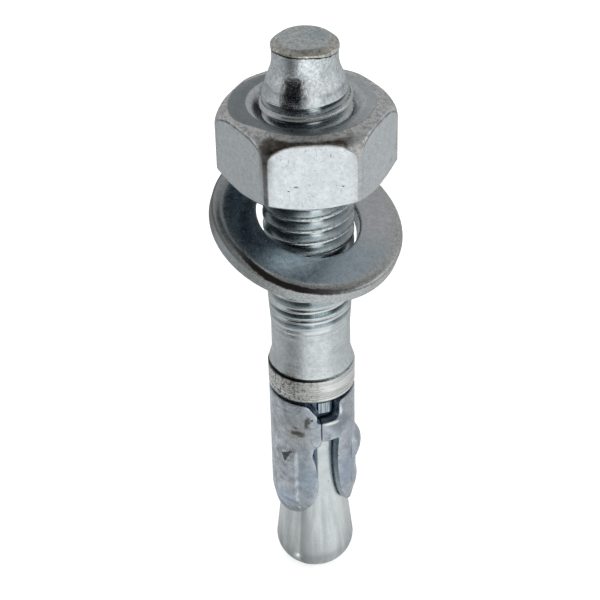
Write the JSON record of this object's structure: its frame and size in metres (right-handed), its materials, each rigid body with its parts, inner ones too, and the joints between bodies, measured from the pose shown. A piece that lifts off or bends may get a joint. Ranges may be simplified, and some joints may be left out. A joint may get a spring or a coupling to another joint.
{
  "type": "wedge expansion anchor",
  "caption": "Zinc-plated steel wedge anchor standing on its cone end: threaded stud with an expansion clip round its neck, a loose flat washer and a hex nut, for fixing into drilled concrete.",
  "frame": {"origin": "centre of the stud's flat cone end, on the surface that the anchor stands on", "axes": "+Z along the stud from the cone end to the point; -Y is the front, where the clip's seam shows"},
  "size_m": [0.0211, 0.021, 0.07],
  "materials": {
    "stud_zinc": "bright zinc plating on cold-formed steel, worn at the point's rim",
    "clip_zinc": "bright zinc plating on pressed sheet steel, a few brown stains",
    "washer_zinc": "bluish zinc plating, tumbled",
    "nut_zinc": "pale zinc plating, worn brown on the chamfers"
  },
  "bodies": {
    "stud": {"stud": "stud_zinc"},
    "clip": {"expansion_clip": "clip_zinc"},
    "washer": {"washer": "washer_zinc"},
    "nut": {"hex_nut": "nut_zinc"}
  },
  "joints": [
    {"name": "clip_slide", "type": "slide", "parent": "stud", "child": "clip", "axis": [0, 0, 1], "range_m": [-0.0003, 0.00035]},
    {"name": "washer_slide", "type": "slide", "parent": "stud", "child": "washer", "axis": [0, 0, 1], "range_m": [-0.0121, 0.0016]},
    {"name": "nut_turn", "type": "hinge", "parent": "washer", "child": "nut", "pos_m": [0, 0, 0.0585], "axis": [0, 0, 1], "range_deg": [-2880, 360]}
  ],
  "couplings": [
    {"joint": "washer_slide", "follows": "nut_turn", "m_per_rad": 0.00023873}
  ]
}
